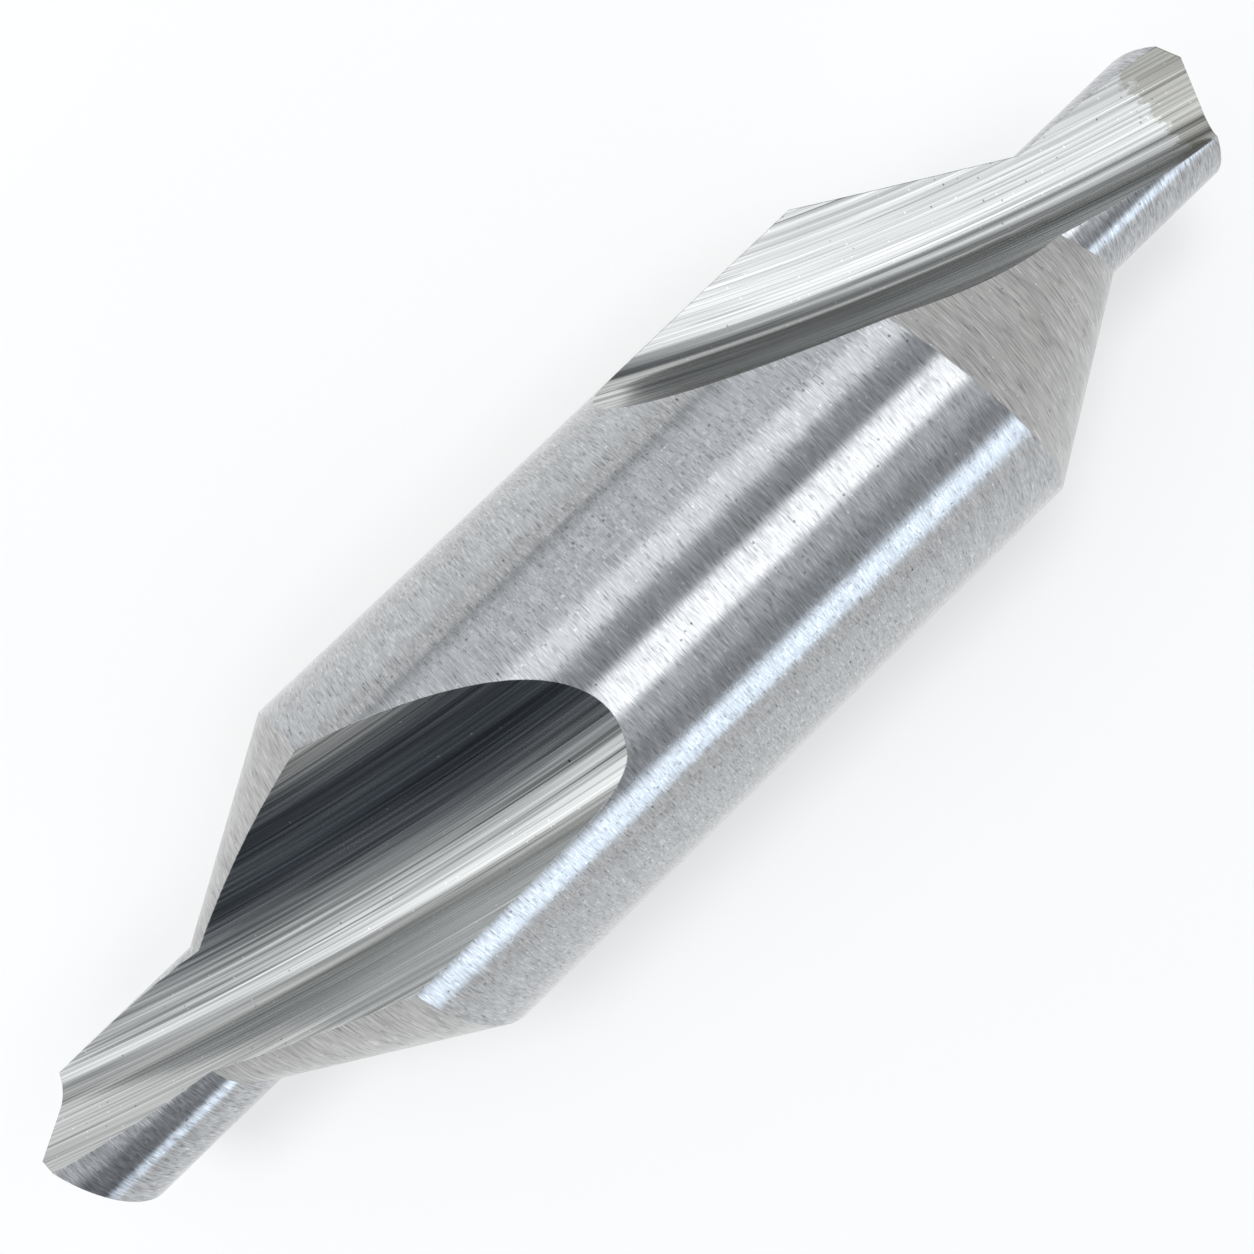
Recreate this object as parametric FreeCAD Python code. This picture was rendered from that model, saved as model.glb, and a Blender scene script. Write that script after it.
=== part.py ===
import FreeCAD, Part
import os
from math import cos, radians, sin, sqrt, tan

from FreeCAD import Placement, Rotation, Vector

# Double ended centre drill, ground from one bar of steel. All lengths are in millimetres.
# The X axis is the drill's axis and the origin is the middle of its body.
# One end is made first, with its tip towards +X and the middle of a flute straight up.
# Round the axis, angles start at the middle of that flute and grow towards its heel.

# The blank
overall_length = 78.0
body_diameter = 20.0
pilot_diameter = 8.0
pilot_length = 9.2
countersink_angle = 60.0

# Clearance behind the cutting edges. Each cone is moved towards a line that leads its edge,
# and each lip is set ahead of the axis by the thickness of the web
countersink_relief = 1.15
countersink_lead = 20.0
pilot_relief = 0.1
point_angle = 135.0
lip_clearance_angle = 5.0
point_flank_radius = 20.0
lip_ahead = 2.25

# The grinding wheel that cuts each flute, and where its deepest point stands
wheel_radius = 87.0
wheel_edge_radius = 1.5
rake_side_angle = 56.7
heel_side_angle = 59.5
heel_side_radius = 17.0
wheel_set_over = 19.4
wheel_behind_tip = 5.7
web_half_thickness = 0.9
flute_offset = 1.3
wheel_sweep = 40.0
wheel_depth_spare = 4.0

# Where the cutting edges lie round the axis, and how far each end is turned in the bar
countersink_edge_angle = -57.0
pilot_edge_angle = -35.0
lip_angle = -66.5
gap_angle = -5.0
flute_count = 2
right_end_turn = -29.0
left_end_turn = -31.0

AXIS = Vector(1, 0, 0)
UP = Vector(0, 0, 1)
CENTRE = Vector(0, 0, 0)

half_length = overall_length / 2
body_radius = body_diameter / 2
pilot_radius = pilot_diameter / 2
countersink_slope = tan(radians(countersink_angle / 2))
pilot_root = half_length - pilot_length
pitch = 360.0 / flute_count
margin = body_radius


def across(angle):
    """Unit vector square to the axis, at an angle from the middle of the flute."""
    turn = radians(angle)
    return Vector(0, -sin(turn), cos(turn))


def sector(middle):
    """Everything within half a pitch of this angle, as a block for two flutes."""
    size = 2 * (half_length + margin)
    block = Part.makeBox(size, size, size, Vector(-size / 2, 0, -size / 2))
    block.Placement = Placement(CENTRE, Rotation(Vector(0, 1, 0), across(middle)))
    return block


def land_turns():
    """How far each land is turned from the first one."""
    return [number * pitch for number in range(flute_count)]


def relieved_cone(edge_angle):
    """Countersink cone of one land, moved sideways so that it falls away behind the edge."""
    shift = countersink_relief
    apex = pilot_root + (pilot_radius - shift * cos(radians(countersink_lead))) / countersink_slope
    height = apex + margin
    start = across(edge_angle + countersink_lead) * shift - AXIS * margin
    return Part.makeCone(height * countersink_slope, 0, height, start, AXIS)


def relieved_pilot(edge_angle):
    """Pilot of one land, moved sideways in the same way."""
    start = across(edge_angle) * pilot_relief
    return Part.makeCylinder(pilot_radius - pilot_relief, half_length, start, AXIS)


def point_flank(edge_angle):
    """Round flank of one lip. The lip lies on it, and it bends away behind the lip."""
    slope = radians(90 - point_angle / 2)
    clearance = radians(lip_clearance_angle)
    outward = across(edge_angle)
    behind = across(edge_angle - 90)
    upward = AXIS * cos(slope) + outward * sin(slope)
    along = outward * cos(slope) - AXIS * sin(slope)
    reach = lip_ahead + point_flank_radius * sin(clearance)
    drop = point_flank_radius * cos(clearance) - sqrt(point_flank_radius ** 2 - reach ** 2)
    lip = AXIS * (half_length + drop / cos(slope)) - behind * lip_ahead
    normal = upward * cos(clearance) + behind * sin(clearance)
    start = lip - normal * point_flank_radius - along * body_diameter
    return Part.makeCylinder(point_flank_radius, 2 * body_diameter, start, along)


def blank_end():
    """One end before its flutes are ground: half the body, the countersink, pilot and point."""
    body = Part.makeCylinder(body_radius, half_length, CENTRE, AXIS)
    cones = []
    pilots = []
    for turn in land_turns():
        land = sector(gap_angle - pitch / 2 + turn)
        cones.append(relieved_cone(countersink_edge_angle + turn).common(land))
        pilots.append(relieved_pilot(pilot_edge_angle + turn).common(land))
    countersink = body.common(cones[0].fuse(cones[1:]))
    pilot = pilots[0].fuse(pilots[1:])
    for turn in land_turns():
        pilot = pilot.common(point_flank(lip_angle + turn))
    return countersink.fuse(pilot).removeSplitter()


def profile_arc(first, middle, last):
    return Part.Arc(first, middle, last).toShape()


def wheel():
    """Segment of the grinding wheel, where it stands when the flute is finished."""
    rake = radians(rake_side_angle)
    heel = radians(heel_side_angle)
    set_over = radians(wheel_set_over)
    wheel_axis = Vector(-sin(set_over), -cos(set_over), 0)
    deepest = Vector(half_length - wheel_behind_tip, -flute_offset, web_half_thickness)
    wheel_centre = deepest + UP * wheel_radius

    def place(height, side):
        """Point of the profile: height above the wheel's sharp edge, and side along its axis."""
        return deepest + UP * height + wheel_axis * side

    arc_height = heel_side_radius * sin(heel)
    arc_side = -heel_side_radius * cos(heel)

    def heel_side(height):
        return arc_side + sqrt(heel_side_radius ** 2 - (height - arc_height) ** 2)

    # The rounded edge touches the straight rake side and the curved heel side
    inner_radius = heel_side_radius - wheel_edge_radius
    gap_height = wheel_edge_radius * sin(rake) - arc_height
    gap_side = wheel_edge_radius * cos(rake) - arc_side
    half_sum = cos(rake) * gap_height - sin(rake) * gap_side
    product = gap_height ** 2 + gap_side ** 2 - inner_radius ** 2
    run = -half_sum - sqrt(half_sum ** 2 - product)
    touch_rake = (run * cos(rake), -run * sin(rake))
    edge_height = touch_rake[0] + wheel_edge_radius * sin(rake)
    edge_side = touch_rake[1] + wheel_edge_radius * cos(rake)
    reach = heel_side_radius / inner_radius
    touch_heel = (arc_height + (edge_height - arc_height) * reach, arc_side + (edge_side - arc_side) * reach)
    tip_share = 1 - wheel_edge_radius / sqrt(edge_height ** 2 + edge_side ** 2)
    edge_tip = (edge_height * tip_share, edge_side * tip_share)

    depth = body_radius + wheel_depth_spare
    middle = (touch_heel[0] + depth) / 2
    outline = [
        Part.LineSegment(place(*touch_rake), place(depth, -depth * tan(rake))).toShape(),
        Part.LineSegment(place(depth, -depth * tan(rake)), place(depth, heel_side(depth))).toShape(),
        profile_arc(place(depth, heel_side(depth)), place(middle, heel_side(middle)), place(*touch_heel)),
        profile_arc(place(*touch_heel), place(*edge_tip), place(*touch_rake)),
    ]
    section = Part.Face(Part.Wire(outline))
    section.rotate(wheel_centre, wheel_axis, -wheel_sweep)
    return section.revolve(wheel_centre, wheel_axis, 2 * wheel_sweep)


def ground_end():
    """One finished end."""
    end = blank_end()
    tool = wheel()
    for number in range(flute_count):
        turned = tool.copy()
        turned.rotate(CENTRE, AXIS, number * pitch)
        end = end.cut(turned)
    return end


def centre_drill():
    """The two ends are alike. The left one is turned over and then turned in the bar."""
    right = ground_end()
    left = right.copy()
    right.rotate(CENTRE, AXIS, right_end_turn)
    left.rotate(CENTRE, UP, 180)
    left.rotate(CENTRE, AXIS, left_end_turn)
    return right.fuse(left).removeSplitter()


os.makedirs("parts", exist_ok=True)
drill = centre_drill()
solid = drill.Solids[0]
solid.exportStep("parts/centre_drill.step")
print("solids", len(drill.Solids), "valid", solid.isValid(), "faces", len(solid.Faces))
print("volume", round(solid.Volume, 1), "box", solid.BoundBox)
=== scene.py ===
import math

import bmesh
import bpy
import numpy as np
from mathutils import Matrix, Vector


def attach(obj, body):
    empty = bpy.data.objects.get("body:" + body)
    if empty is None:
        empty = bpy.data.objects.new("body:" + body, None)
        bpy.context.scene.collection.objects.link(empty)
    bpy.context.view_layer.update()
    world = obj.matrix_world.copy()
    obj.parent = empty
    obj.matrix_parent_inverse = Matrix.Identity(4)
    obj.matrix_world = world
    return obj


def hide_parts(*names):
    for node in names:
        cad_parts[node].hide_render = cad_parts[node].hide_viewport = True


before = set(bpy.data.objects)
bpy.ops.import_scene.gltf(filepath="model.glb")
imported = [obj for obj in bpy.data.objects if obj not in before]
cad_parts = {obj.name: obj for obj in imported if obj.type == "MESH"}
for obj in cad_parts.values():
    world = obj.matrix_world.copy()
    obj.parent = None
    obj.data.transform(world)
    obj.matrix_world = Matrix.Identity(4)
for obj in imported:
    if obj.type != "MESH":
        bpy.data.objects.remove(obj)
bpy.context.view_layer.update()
millimetre = 0.001

# Sizes of the drill, as its part has them, in millimetres and degrees.
# An end's own frame has its tip towards x, the middle of a flute along u and its heel towards w.
drillSizes = {
    "halfLength": 39.0,
    "bodyRadius": 10.0,
    "pilotRadius": 4.0,
    "pilotRoot": 29.8,
    "coneHalfAngle": 30.0,
    "coneShift": 1.15,
    "coneEdge": -57.0,
    "coneLead": 20.0,
    "pilotShift": 0.1,
    "pilotEdge": -35.0,
    "pointAngle": 135.0,
    "lipClearance": 5.0,
    "flankRadius": 20.0,
    "lipAngle": -66.5,
    "lipAhead": 2.25,
    "wheelRadius": 87.0,
    "wheelSetOver": 19.4,
    "wheelLow": (33.3, 0.9, 1.3),
    "rakeAngle": 56.7,
    "heelAngle": 59.5,
    "heelCurve": 17.0,
    "edgeRound": 1.5,
    "turnRight": -29.0,
    "turnLeft": -31.0,
}


def unitRows(rows):
    return rows / np.linalg.norm(rows, axis=1)[:, None]


def endTurn(rightEnd):
    # rows are the end's own x, u and w in the drill's frame
    turn = math.radians(drillSizes["turnRight"] if rightEnd else drillSizes["turnLeft"])
    side = 1.0 if rightEnd else -1.0
    return np.array([
        [side, 0.0, 0.0],
        [0.0, -math.sin(turn), math.cos(turn)],
        [0.0, -side * math.cos(turn), -side * math.sin(turn)],
    ])


def around(degrees):
    return np.array([0.0, math.cos(math.radians(degrees)), math.sin(math.radians(degrees))])


# Each kind of surface gives, for points of one end: how far off they are, the normal,
# the direction its grinding lines run in, and where a point lies across and along the lines

def roundFace(points, radius, centre=(0.0, 0.0, 0.0), slope=0.0, apex=0.0):
    offset = points - np.array(centre)
    offset[:, 0] = 0.0
    distance = np.linalg.norm(offset, axis=1)
    outward = offset / distance[:, None]
    lean = math.atan(slope)
    wanted = radius if slope == 0.0 else (apex - points[:, 0]) * slope
    off = (distance - wanted) * math.cos(lean)
    normal = outward * math.cos(lean) + np.array([math.sin(lean), 0.0, 0.0])
    line = np.cross(np.array([1.0, 0.0, 0.0]), outward)
    return off, normal, line, points


def bodyFace(points, land):
    return roundFace(points, drillSizes["bodyRadius"])


def coneFace(points, land):
    s = drillSizes
    slope = math.tan(math.radians(s["coneHalfAngle"]))
    nearEdge = s["coneShift"] * math.cos(math.radians(s["coneLead"]))
    apex = s["pilotRoot"] + (s["pilotRadius"] - nearEdge) / slope
    centre = around(s["coneEdge"] + s["coneLead"] + 180 * land) * s["coneShift"]
    return roundFace(points, 0.0, centre, slope, apex)


def pilotFace(points, land):
    s = drillSizes
    centre = around(s["pilotEdge"] + 180 * land) * s["pilotShift"]
    return roundFace(points, s["pilotRadius"] - s["pilotShift"], centre)


def flankFace(points, land):
    s = drillSizes
    slope = math.radians(90 - s["pointAngle"] / 2)
    clearance = math.radians(s["lipClearance"])
    radius = s["flankRadius"]
    axis = np.array([1.0, 0.0, 0.0])
    outward = around(s["lipAngle"] + 180 * land)
    behind = around(s["lipAngle"] - 90 + 180 * land)
    upward = axis * math.cos(slope) + outward * math.sin(slope)
    along = outward * math.cos(slope) - axis * math.sin(slope)
    reach = s["lipAhead"] + radius * math.sin(clearance)
    drop = radius * math.cos(clearance) - math.sqrt(radius ** 2 - reach ** 2)
    lip = axis * (s["halfLength"] + drop / math.cos(slope)) - behind * s["lipAhead"]
    start = lip - (upward * math.cos(clearance) + behind * math.sin(clearance)) * radius
    offset = points - start
    offset = offset - np.outer(offset @ along, along)
    distance = np.linalg.norm(offset, axis=1)
    normal = offset / distance[:, None]
    place = np.stack([points @ along, points @ behind, points @ upward], 1)
    return distance - radius, normal, np.cross(normal, along), place


def wheelPlace(points, flute):
    # where points lie on the grinding wheel: height over its edge,
    # side along its axis and angle round it
    s = drillSizes
    side = -1.0 if flute else 1.0
    flip = np.array([1.0, side, side])
    points = points * flip
    over = math.radians(s["wheelSetOver"])
    forward = np.array([math.cos(over), 0.0, math.sin(over)])
    axle = np.array([-math.sin(over), 0.0, math.cos(over)])
    up = np.array([0.0, 1.0, 0.0])
    offset = points - (np.array(s["wheelLow"]) + up * s["wheelRadius"])
    sideways = offset @ axle
    radial = offset - np.outer(sideways, axle)
    distance = np.linalg.norm(radial, axis=1)
    inward = -radial / distance[:, None]
    angle = np.arctan2(offset @ forward, -(offset @ up))
    line = np.outer(np.sin(angle), up) + np.outer(np.cos(angle), forward)
    return s["wheelRadius"] - distance, sideways, angle, inward * flip, axle * flip, line * flip


def edgeCentre():
    # middle of the wheel's rounded edge, which touches the straight side and the curved one
    s = drillSizes
    rake, heel = math.radians(s["rakeAngle"]), math.radians(s["heelAngle"])
    arcHeight, arcSide = s["heelCurve"] * math.sin(heel), -s["heelCurve"] * math.cos(heel)
    gapHeight = s["edgeRound"] * math.sin(rake) - arcHeight
    gapSide = s["edgeRound"] * math.cos(rake) - arcSide
    halfSum = math.cos(rake) * gapHeight - math.sin(rake) * gapSide
    product = gapHeight ** 2 + gapSide ** 2 - (s["heelCurve"] - s["edgeRound"]) ** 2
    run = -halfSum - math.sqrt(halfSum ** 2 - product)
    height = run * math.cos(rake) + s["edgeRound"] * math.sin(rake)
    return height, -run * math.sin(rake) + s["edgeRound"] * math.cos(rake)


def flutePlace(across, angle, points):
    return np.stack([across, angle * drillSizes["wheelRadius"], points[:, 0]], 1)


def rakeFace(points, flute):
    height, sideways, angle, inward, axle, line = wheelPlace(points, flute)
    rake = math.radians(drillSizes["rakeAngle"])
    off = height * math.sin(rake) + sideways * math.cos(rake)
    normal = inward * math.sin(rake) + axle * math.cos(rake)
    across = height * math.cos(rake) - sideways * math.sin(rake)
    return off, normal, line, flutePlace(across, angle, points)


def curvedFace(points, flute, centreHeight, centreSide, radius):
    height, sideways, angle, inward, axle, line = wheelPlace(points, flute)
    up, out = height - centreHeight, sideways - centreSide
    distance = np.hypot(up, out)
    normal = -(inward * up[:, None] + np.outer(out, axle)) / distance[:, None]
    across = np.arctan2(out, -up) * radius
    return distance - radius, normal, line, flutePlace(across, angle, points)


def heelFace(points, flute):
    heel = math.radians(drillSizes["heelAngle"])
    radius = drillSizes["heelCurve"]
    return curvedFace(points, flute, radius * math.sin(heel), -radius * math.cos(heel), radius)


def creaseFace(points, flute):
    return curvedFace(points, flute, *edgeCentre(), drillSizes["edgeRound"])


# The drill: a merged copy of the solid's mesh, with true normals and the run of its grinding lines

mergeWithin = 1e-7  # metres
faceKinds = {
    "body": bodyFace, "cone": coneFace, "pilot": pilotFace, "flank": flankFace,
    "rake": rakeFace, "heel": heelFace, "crease": creaseFace,
}


def mergedCopy(cadNode, name):
    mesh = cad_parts[cadNode].data.copy()
    mesh.name = name
    merged = bmesh.new()
    merged.from_mesh(mesh)
    bmesh.ops.remove_doubles(merged, verts=merged.verts, dist=mergeWithin)
    merged.to_mesh(mesh)
    merged.free()
    copy = bpy.data.objects.new(name, mesh)
    bpy.context.scene.collection.objects.link(copy)
    return copy


def cornerPlaces(mesh):
    vertexOf = np.zeros(len(mesh.loops), int)
    mesh.loops.foreach_get("vertex_index", vertexOf)
    places = np.zeros(len(mesh.vertices) * 3)
    mesh.vertices.foreach_get("co", places)
    return places.reshape(-1, 3)[vertexOf] / millimetre


def buildDrill():
    drill = mergedCopy("centre_drill", "drill_steel")
    mesh = drill.data
    places = cornerPlaces(mesh)
    triangles = len(mesh.polygons)
    onRight = places.reshape(triangles, 3, 3).mean(1)[:, 0] > 0
    best = np.full(triangles, np.inf)
    kindOf = np.zeros(triangles, int)
    normals, lines, grain = (np.zeros(places.shape) for count in range(3))
    for rightEnd in (True, False):
        turn = endTurn(rightEnd)
        own = places @ turn.T
        for kind, face in enumerate(faceKinds.values()):
            for land in (0, 1):
                off, normal, line, place = face(own.copy(), land)
                worst = np.abs(off).reshape(triangles, 3).max(1)
                here = (worst < best) & (onRight == rightEnd)
                best[here] = worst[here]
                kindOf[here] = kind
                corners = np.repeat(here, 3)
                normals[corners] = (normal @ turn)[corners]
                lines[corners] = (line @ turn)[corners]
                grain[corners] = place[corners]
    farthest = round(float(best.max()), 4)
    print("drill:", triangles, "triangles, at most", farthest, "mm off their surfaces")
    normals = unitRows(normals)
    lay = unitRows(np.cross(normals, lines))
    for name, values in (("grain", grain), ("lay", lay)):
        layer = mesh.attributes.new(name, "FLOAT_VECTOR", "CORNER")
        layer.data.foreach_set("vector", values.astype(np.float32).ravel())
    mesh.polygons.foreach_set("use_smooth", np.ones(triangles, bool))
    mesh.normals_split_custom_set([tuple(normal) for normal in normals])
    # clearing the materials puts every face on the first one, so the kinds are set after it
    mesh.materials.clear()
    mesh.polygons.foreach_set("material_index", kindOf)
    return drill


drill = buildDrill()

# Steel: every kind of face has its own grind. Lengths are in millimetres.
# lineWidth and lineLength are the size of one grinding line, contrast how far it darkens the steel.

steelLook = {
    "body": {
        "colour": (0.500, 0.510, 0.520), "roughness": 0.17, "stretch": 0.8,
        "lineWidth": 0.085, "lineLength": 0.8, "contrast": 0.24, "bump": 0.3, "pits": 0.7,
    },
    "cone": {
        "colour": (0.470, 0.470, 0.460), "roughness": 0.24, "stretch": 0.5,
        "lineWidth": 0.10, "lineLength": 1.6, "contrast": 0.26, "bump": 0.4, "pits": 0.7,
    },
    "pilot": {
        "colour": (0.495, 0.505, 0.518), "roughness": 0.19, "stretch": 0.7,
        "lineWidth": 0.10, "lineLength": 0.8, "contrast": 0.32, "bump": 0.35, "pits": 0.7,
    },
    "flank": {
        "colour": (0.40, 0.40, 0.40), "roughness": 0.34, "stretch": 0.5,
        "lineWidth": 0.10, "lineLength": 3.0, "contrast": 0.30, "bump": 0.5, "pits": 0.2,
    },
    "rake": {
        "colour": (0.560, 0.567, 0.560), "roughness": 0.19, "stretch": 0.5,
        "lineWidth": 0.13, "lineLength": 26.0, "contrast": 0.36, "bump": 0.2, "pits": 0.5,
    },
    "heel": {
        "colour": (0.530, 0.540, 0.535), "roughness": 0.17, "stretch": 0.5,
        "lineWidth": 0.14, "lineLength": 22.0, "contrast": 0.62, "bump": 0.25, "pits": 0.3,
    },
    "crease": {
        "colour": (0.550, 0.556, 0.546), "roughness": 0.19, "stretch": 0.5,
        "lineWidth": 0.14, "lineLength": 24.0, "contrast": 0.42, "bump": 0.2, "pits": 0.3,
    },
}

# The grain is made up alike on every kind of face. wide and long are in line widths and line lengths,
# from and full are levels of the noise, depth and lift say how far a mark darkens or brightens.
grainLook = {
    "lines": {"wide": 1, "long": 1, "detail": 1.5},
    "broad": {"wide": 7, "long": 2.5, "detail": 1.0},
    "mottle": {"wide": 9, "long": 1, "detail": 1.0},
    "scratch": {"wide": 0.9, "long": 0.6, "detail": 0.0},
    "noiseRoughness": 0.6,
    "noiseRange": (0.3, 0.7),
    "lineLift": 0.45,  # how far a line brightens, as a share of contrast
    "cloud": (0.93, 1.06),
    "darkScratch": {"from": 0.66, "full": 0.74, "depth": 0.26},
    "brightScratch": {"from": 0.34, "full": 0.27, "lift": 0.22},
    "pit": {"cell": 0.40, "share": 0.12, "depth": 0.38, "roughness": 0.15},  # cell in millimetres
    # glint: painted highlights, bright dots added to the steel's colour
    "glint": {"cell": 0.34, "share": 0.2, "lift": 0.4},
    "dotRadius": (0.08, 0.24),  # where a dot is full and where it ends, as shares of a cell
    "roughnessRange": (0.85, 1.15),
    "markDepth": 1.2,  # how deep a full dark mark is, against a line
    "bumpHeight": 0.006,  # millimetres, as edgeRadius is
    "edgeRadius": 0.06,
    "edgeSamples": 4,
}

# Near the right tip the rake face and its crease are darker and warmer, up to a jagged line.
# Places in millimetres; a jag is jagStretch times as long as it is wide.
tipLook = {
    "from": 35.9, "fade": 0.25, "jag": 0.6,
    "jagSize": 0.5, "jagStretch": 3, "jagDetail": 4.0,
    "tint": (0.70, 0.69, 0.65),
}


def node(tree, kind, place, **values):
    made = tree.nodes.new(kind)
    made.location = place
    for name, value in values.items():
        setattr(made, name, value)
    return made


def stretchedNoise(tree, grain, place, width, length, detail):
    link = tree.links.new
    scale = node(tree, "ShaderNodeMapping", place)
    scale.inputs["Scale"].default_value = (1 / width, 1 / length, 1 / length)
    noise = node(tree, "ShaderNodeTexNoise", (place[0] + 200, place[1]))
    noise.inputs["Scale"].default_value = 1.0
    noise.inputs["Detail"].default_value = detail
    noise.inputs["Roughness"].default_value = grainLook["noiseRoughness"]
    link(grain.outputs["Vector"], scale.inputs["Vector"])
    link(scale.outputs["Vector"], noise.inputs["Vector"])
    return noise.outputs["Fac"]


def between(tree, source, place, low, high, first, last, smooth=False):
    spread = node(tree, "ShaderNodeMapRange", place)
    if smooth:
        spread.interpolation_type = "SMOOTHSTEP"
    spread.inputs["From Min"].default_value = low
    spread.inputs["From Max"].default_value = high
    spread.inputs["To Min"].default_value = first
    spread.inputs["To Max"].default_value = last
    tree.links.new(source, spread.inputs["Value"])
    return spread.outputs["Result"]


def combine(tree, operation, first, second, place):
    made = node(tree, "ShaderNodeMath", place, operation=operation)
    for socket, value in zip(made.inputs, (first, second)):
        if isinstance(value, (int, float)):
            socket.default_value = value
        else:
            tree.links.new(value, socket)
    return made.outputs["Value"]


def roundDots(tree, grain, place, dots, amount):
    # little round marks, one in some of the cells; as glints they are painted highlights
    left, top = place
    scale = node(tree, "ShaderNodeMapping", place)
    scale.inputs["Scale"].default_value = (1 / dots["cell"],) * 3
    cells = node(tree, "ShaderNodeTexVoronoi", (left + 200, top))
    cells.inputs["Scale"].default_value = 1.0
    tree.links.new(grain.outputs["Vector"], scale.inputs["Vector"])
    tree.links.new(scale.outputs["Vector"], cells.inputs["Vector"])
    full, gone = grainLook["dotRadius"]
    dot = between(tree, cells.outputs["Distance"], (left + 400, top), full, gone, 1.0, 0.0, True)
    colour = node(tree, "ShaderNodeSeparateColor", (left + 400, top - 200))
    tree.links.new(cells.outputs["Color"], colour.inputs["Color"])
    least = 1 - dots["share"] * amount
    chosen = combine(tree, "GREATER_THAN", colour.outputs["Red"], least, (left + 600, top - 200))
    return combine(tree, "MULTIPLY", dot, chosen, (left + 800, top))


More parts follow.
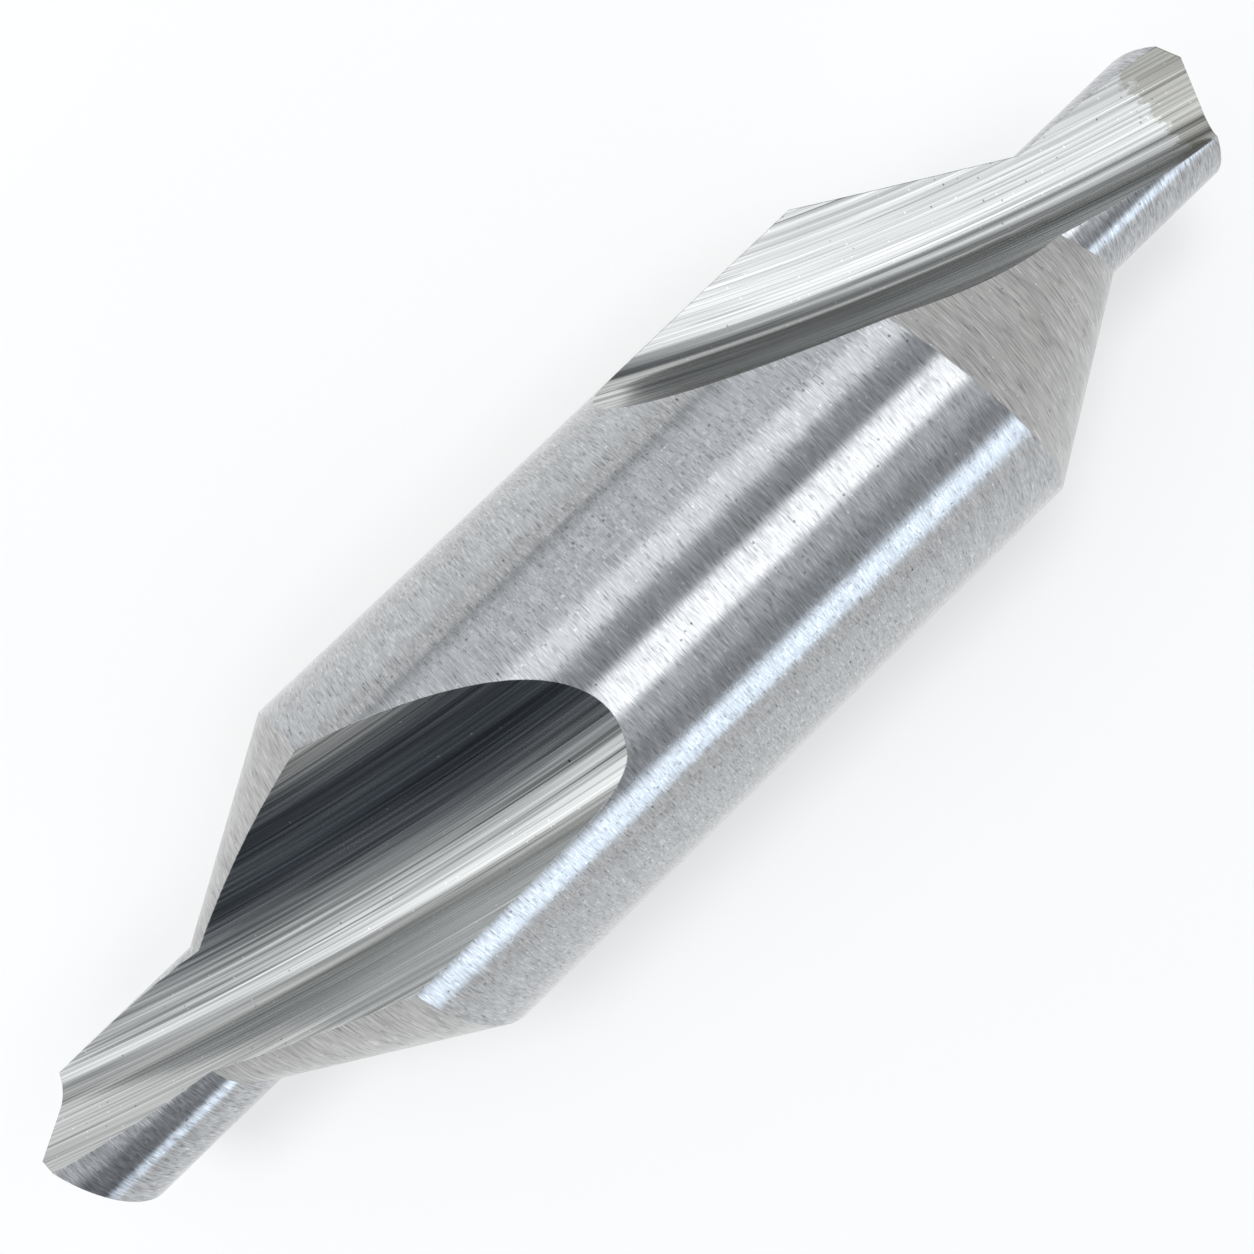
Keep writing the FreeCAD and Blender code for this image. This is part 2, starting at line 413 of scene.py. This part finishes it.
def groundSteel(name):
    look = steelLook[name]
    material = bpy.data.materials.new("ground_steel_" + name)
    material.use_nodes = True
    tree = material.node_tree
    tree.nodes.clear()
    link = tree.links.new
    grain = node(tree, "ShaderNodeAttribute", (-1800, 0), attribute_name="grain")
    lay = node(tree, "ShaderNodeAttribute", (-200, -600), attribute_name="lay")

    def layer(kind, top):
        size = grainLook[kind]
        width, length = look["lineWidth"] * size["wide"], look["lineLength"] * size["long"]
        return stretchedNoise(tree, grain, (-1500, top), width, length, size["detail"])

    lines = layer("lines", 400)
    broad = layer("broad", 100)
    mottle = layer("mottle", -200)
    scratch = layer("scratch", -500)

    low, high = grainLook["noiseRange"]
    darkScratch, brightScratch = grainLook["darkScratch"], grainLook["brightScratch"]
    pit, glint = grainLook["pit"], grainLook["glint"]
    start, full = darkScratch["from"], darkScratch["full"]
    deep = between(tree, scratch, (-1100, -500), start, full, 0.0, 1.0, True)
    start, full = brightScratch["from"], brightScratch["full"]
    bright = between(tree, scratch, (-1100, -700), start, full, 0.0, 1.0, True)
    dots = roundDots(tree, grain, (-1500, -900), pit, look["pits"])
    # the glints are painted highlights: bright dots in the steel's colour
    glints = roundDots(tree, grain, (-1500, -1300), glint, look["pits"])

    darkest, lightest = 1 - look["contrast"], 1 + look["contrast"] * grainLook["lineLift"]
    shade = between(tree, lines, (-1100, 400), low, high, darkest, lightest)
    cloud = between(tree, broad, (-1100, 100), low, high, *grainLook["cloud"])
    shade = combine(tree, "MULTIPLY", shade, cloud, (-900, 300))
    dark = combine(tree, "MULTIPLY", deep, darkScratch["depth"], (-900, -500))
    pitDark = combine(tree, "MULTIPLY", dots, pit["depth"], (-900, -900))
    dark = combine(tree, "ADD", dark, pitDark, (-700, -600))
    shade = combine(tree, "SUBTRACT", shade, dark, (-500, 300))
    light = combine(tree, "MULTIPLY", bright, brightScratch["lift"], (-900, -700))
    glintLight = combine(tree, "MULTIPLY", glints, glint["lift"], (-700, -1300))
    light = combine(tree, "ADD", light, glintLight, (-500, -700))
    shade = combine(tree, "ADD", shade, light, (-300, 300))

    tint = node(tree, "ShaderNodeMix", (-100, 300), data_type="RGBA", blend_type="MULTIPLY")
    tint.inputs["Factor"].default_value = 1.0
    tint.inputs["A"].default_value = (*look["colour"], 1.0)
    link(shade, tint.inputs["B"])
    colour = tint.outputs["Result"]
    if name in ("rake", "crease"):
        own = node(tree, "ShaderNodeTexCoord", (-1700, 700))
        parts = node(tree, "ShaderNodeSeparateXYZ", (-1500, 700))
        link(own.outputs["Object"], parts.inputs["Vector"])
        jagWidth, jag = tipLook["jagSize"], tipLook["jag"]
        jagLength = jagWidth * tipLook["jagStretch"]
        jagged = stretchedNoise(tree, grain, (-1500, 900), jagWidth, jagLength, tipLook["jagDetail"])
        ragged = between(tree, jagged, (-1100, 900), low, high, -jag, jag)
        alongDrill = combine(tree, "DIVIDE", parts.outputs["X"], millimetre, (-1100, 700))
        edge = combine(tree, "ADD", alongDrill, ragged, (-900, 800))
        start, fade = tipLook["from"], tipLook["fade"]
        patch = between(tree, edge, (-700, 800), start, start + fade, 0.0, 1.0, True)
        worn = node(tree, "ShaderNodeMix", (100, 400), data_type="RGBA", blend_type="MULTIPLY")
        worn.inputs["B"].default_value = (*tipLook["tint"], 1.0)
        link(patch, worn.inputs["Factor"])
        link(colour, worn.inputs["A"])
        colour = worn.outputs["Result"]

    smoothest, roughest = (look["roughness"] * share for share in grainLook["roughnessRange"])
    rough = between(tree, mottle, (-1100, -200), low, high, smoothest, roughest)
    pitRough = combine(tree, "MULTIPLY", dots, pit["roughness"], (-500, -900))
    rough = combine(tree, "ADD", rough, pitRough, (-300, -200))

    markHeight = combine(tree, "MULTIPLY", dark, grainLook["markDepth"], (-500, -450))
    height = combine(tree, "SUBTRACT", lines, markHeight, (-300, -400))
    soft = node(tree, "ShaderNodeBevel", (-200, -750), samples=grainLook["edgeSamples"])
    soft.inputs["Radius"].default_value = grainLook["edgeRadius"] * millimetre
    bump = node(tree, "ShaderNodeBump", (0, -450))
    bump.inputs["Strength"].default_value = look["bump"]
    bump.inputs["Distance"].default_value = grainLook["bumpHeight"] * millimetre
    steel = node(tree, "ShaderNodeBsdfPrincipled", (300, 0))
    steel.inputs["Metallic"].default_value = 1.0
    steel.inputs["Anisotropic"].default_value = look["stretch"]
    end = node(tree, "ShaderNodeOutputMaterial", (600, 0))
    link(colour, steel.inputs["Base Color"])
    link(rough, steel.inputs["Roughness"])
    link(height, bump.inputs["Height"])
    link(soft.outputs["Normal"], bump.inputs["Normal"])
    link(bump.outputs["Normal"], steel.inputs["Normal"])
    link(lay.outputs["Vector"], steel.inputs["Tangent"])
    link(steel.outputs["BSDF"], end.inputs["Surface"])
    return material


for name in faceKinds:
    drill.data.materials.append(groundSteel(name))
kindsInUse = {face.material_index for face in drill.data.polygons}
print("steel:", len(drill.data.materials), "kinds of ground face,", len(kindsInUse), "in use")

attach(drill, "root")
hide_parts("centre_drill")

# Floor. size is in metres, albedo is its own grey, and lift is what it adds for the rays that show it

floorLook = {"size": 3.0, "albedo": 0.42, "lift": 0.475}


def layFloor():
    half = floorLook["size"] / 2
    level = -drillSizes["bodyRadius"] * millimetre
    corners = [(x * half, y * half, level) for x, y in ((-1, -1), (1, -1), (1, 1), (-1, 1))]
    mesh = bpy.data.meshes.new("floor")
    mesh.from_pydata(corners, [], [(0, 1, 2, 3)])
    floor = bpy.data.objects.new("floor", mesh)
    bpy.context.scene.collection.objects.link(floor)
    material = bpy.data.materials.new("pale_floor")
    material.use_nodes = True
    tree = material.node_tree
    tree.nodes.clear()
    matt = node(tree, "ShaderNodeBsdfDiffuse", (0, 0))
    matt.inputs["Color"].default_value = (floorLook["albedo"],) * 3 + (1.0,)
    glow = node(tree, "ShaderNodeEmission", (0, -200))
    # the steel has to show the same pale floor that the camera sees
    rays = node(tree, "ShaderNodeLightPath", (-800, -200)).outputs
    seen = combine(tree, "MAXIMUM", rays["Is Camera Ray"], rays["Is Glossy Ray"], (-600, -200))
    seen = combine(tree, "MAXIMUM", seen, rays["Is Transmission Ray"], (-400, -200))
    lift = combine(tree, "MULTIPLY", seen, floorLook["lift"], (-200, -200))
    both = node(tree, "ShaderNodeAddShader", (200, 0))
    end = node(tree, "ShaderNodeOutputMaterial", (400, 0))
    tree.links.new(lift, glow.inputs["Strength"])
    tree.links.new(matt.outputs["BSDF"], both.inputs[0])
    tree.links.new(glow.outputs["Emission"], both.inputs[1])
    tree.links.new(both.outputs["Shader"], end.inputs["Surface"])
    mesh.materials.append(material)


layFloor()
print("floor: laid under the body")

# Light: a studio of soft strips in line with the drill, over a dim room.
# angle is round the drill from straight up towards the lower right of the picture, in degrees;
# reach is how far the strip runs towards the two ends, as a share of the whole sky.

studioLook = {
    "room": (0.050, 0.060, 0.074),
    "cool": (0.88, 0.99, 1.12),
    "plain": (0.99, 1.0, 1.01),
    "strips": (
        {"angle": 0, "half": 62, "soft": 24, "level": 0.38, "tint": "plain", "reach": (-0.40, 0.55)},
        {"angle": -46, "half": 20, "soft": 24, "level": 0.48, "tint": "plain", "reach": (-0.45, 0.42)},
        {"angle": -25, "half": 5, "soft": 8, "level": 0.55, "tint": "plain", "reach": (-0.45, 0.42)},
        {"angle": 15, "half": 6, "soft": 8, "level": 1.50, "tint": "plain", "reach": (-0.30, 0.66)},
        {"angle": 30, "half": 6, "soft": 14, "level": 0.30, "tint": "plain", "reach": (-0.28, 0.60)},
        {"angle": 74, "half": 7, "soft": 10, "level": 1.60, "tint": "cool", "reach": (-0.42, 0.60)},
        {"angle": 5, "half": 60, "soft": 40, "level": 0.75, "tint": "plain", "reach": (0.80, 1.0)},
        {"angle": -36, "half": 34, "soft": 30, "level": 1.45, "tint": "plain", "reach": (-1.0, -0.56)},
    ),
    "endSoft": 0.10,
    # the wall behind the floor is pale too, as high as a low camera sees, and fades upwards
    "wall": {"level": 0.85, "full": 0.17, "gone": 0.26},
}
halfTurn = 180.0  # degrees


def studioStrip(tree, angle, run, strip, place):
    left, top = place
    away = node(tree, "ShaderNodeMath", (left, top), operation="WRAP")
    turned = combine(tree, "SUBTRACT", angle, strip["angle"], (left - 200, top))
    tree.links.new(turned, away.inputs[0])
    away.inputs[1].default_value = halfTurn
    away.inputs[2].default_value = -halfTurn
    width = combine(tree, "ABSOLUTE", away.outputs["Value"], 0, (left + 200, top))
    outer = strip["half"] + strip["soft"]
    across = between(tree, width, (left + 400, top), strip["half"], outer, strip["level"], 0.0, True)
    low, high = strip["reach"]
    soft = studioLook["endSoft"]
    first = between(tree, run, (left + 400, top - 60), low - soft, low, 0.0, 1.0, True)
    last = between(tree, run, (left + 400, top - 120), high, high + soft, 1.0, 0.0, True)
    both = combine(tree, "MULTIPLY", first, last, (left + 600, top - 60))
    share = combine(tree, "MULTIPLY", across, both, (left + 800, top))
    colour = node(tree, "ShaderNodeVectorMath", (left + 1000, top), operation="SCALE")
    colour.inputs[0].default_value = studioLook[strip["tint"]]
    tree.links.new(share, colour.inputs["Scale"])
    return colour.outputs["Vector"]


def buildStudio():
    world = bpy.data.worlds.new("studio")
    bpy.context.scene.world = world
    world.use_nodes = True
    tree = world.node_tree
    tree.nodes.clear()
    link = tree.links.new
    direction = node(tree, "ShaderNodeTexCoord", (-1600, 0))
    parts = node(tree, "ShaderNodeSeparateXYZ", (-1400, 0))
    link(direction.outputs["Generated"], parts.inputs["Vector"])
    sideways = combine(tree, "MULTIPLY", parts.outputs["Y"], -1.0, (-1200, 0))
    angle = combine(tree, "ARCTAN2", sideways, parts.outputs["Z"], (-1000, 0))
    angle = combine(tree, "MULTIPLY", angle, halfTurn / math.pi, (-800, 0))
    total = None
    for number, strip in enumerate(studioLook["strips"]):
        light = studioStrip(tree, angle, parts.outputs["X"], strip, (-400, -220 * number))
        adding = node(tree, "ShaderNodeVectorMath", (900, -220 * number), operation="ADD")
        link(light, adding.inputs[0])
        if total is None:
            adding.inputs[1].default_value = studioLook["room"]
        else:
            link(total, adding.inputs[1])
        total = adding.outputs["Vector"]
    wall = studioLook["wall"]
    full, gone = wall["full"], wall["gone"]
    nearFloor = between(tree, parts.outputs["Z"], (900, 300), full, gone, 1.0, 0.0, True)
    pick = node(tree, "ShaderNodeMix", (1200, 0), data_type="RGBA")
    pick.inputs["B"].default_value = (wall["level"],) * 3 + (1.0,)
    back = node(tree, "ShaderNodeBackground", (1400, 0))
    end = node(tree, "ShaderNodeOutputWorld", (1600, 0))
    link(total, pick.inputs["A"])
    link(nearFloor, pick.inputs["Factor"])
    link(pick.outputs["Result"], back.inputs["Color"])
    link(back.outputs["Background"], end.inputs["Surface"])


buildStudio()
print("studio:", len(studioLook["strips"]), "strips of light")

# One broad lamp over the upper left of the picture, for the soft shadow. Metres and watts

lampLook = {"place": (-0.04, 0.10, 0.32), "size": 0.10, "power": 0.42}


def hangLamp():
    light = bpy.data.lights.new("soft_lamp", "AREA")
    light.shape = "DISK"
    light.size = lampLook["size"]
    light.energy = lampLook["power"]
    lamp = bpy.data.objects.new("soft_lamp", light)
    bpy.context.scene.collection.objects.link(lamp)
    lamp.location = lampLook["place"]
    lamp.rotation_euler = (-lamp.location).to_track_quat("-Z", "Y").to_euler()
    lamp.visible_glossy = False  # else its disc shows in the steel


hangLamp()

# Camera: over the drill and looking almost straight down, turned so that it lies corner to corner

cameraLook = {
    "place": (-3.9687, 3.9152, 67.9253),  # millimetres
    "turn": (-0.0359, -0.0457, 0.0217),
    "focal": 1336.36,  # in pixels of a picture that is pictureSide wide
    "pictureSide": 1254,
    "sensor": 36.0,  # millimetres
    "shift": (0.0199, -0.0502),
}


def setCamera():
    data = bpy.data.cameras.new("camera")
    data.sensor_width = cameraLook["sensor"]
    data.lens = cameraLook["focal"] * cameraLook["sensor"] / cameraLook["pictureSide"]
    data.shift_x, data.shift_y = cameraLook["shift"]
    data.clip_start = millimetre
    camera = bpy.data.objects.new("camera", data)
    bpy.context.scene.collection.objects.link(camera)
    # rows are the picture's right, down and into it, before the camera's own turn
    diagonal = math.sqrt(0.5)
    base = Matrix(((diagonal, -diagonal, 0.0), (-diagonal, -diagonal, 0.0), (0.0, 0.0, -1.0)))
    turn = Vector(cameraLook["turn"])
    right, down, forward = Matrix.Rotation(turn.length, 3, turn.normalized()) @ base
    pose = Matrix((right, -down, -forward)).transposed().to_4x4()
    pose.translation = Vector(cameraLook["place"]) * millimetre
    camera.matrix_world = pose
    bpy.context.scene.camera = camera


setCamera()
bpy.context.scene.view_settings.view_transform = "Standard"
print("camera: set")
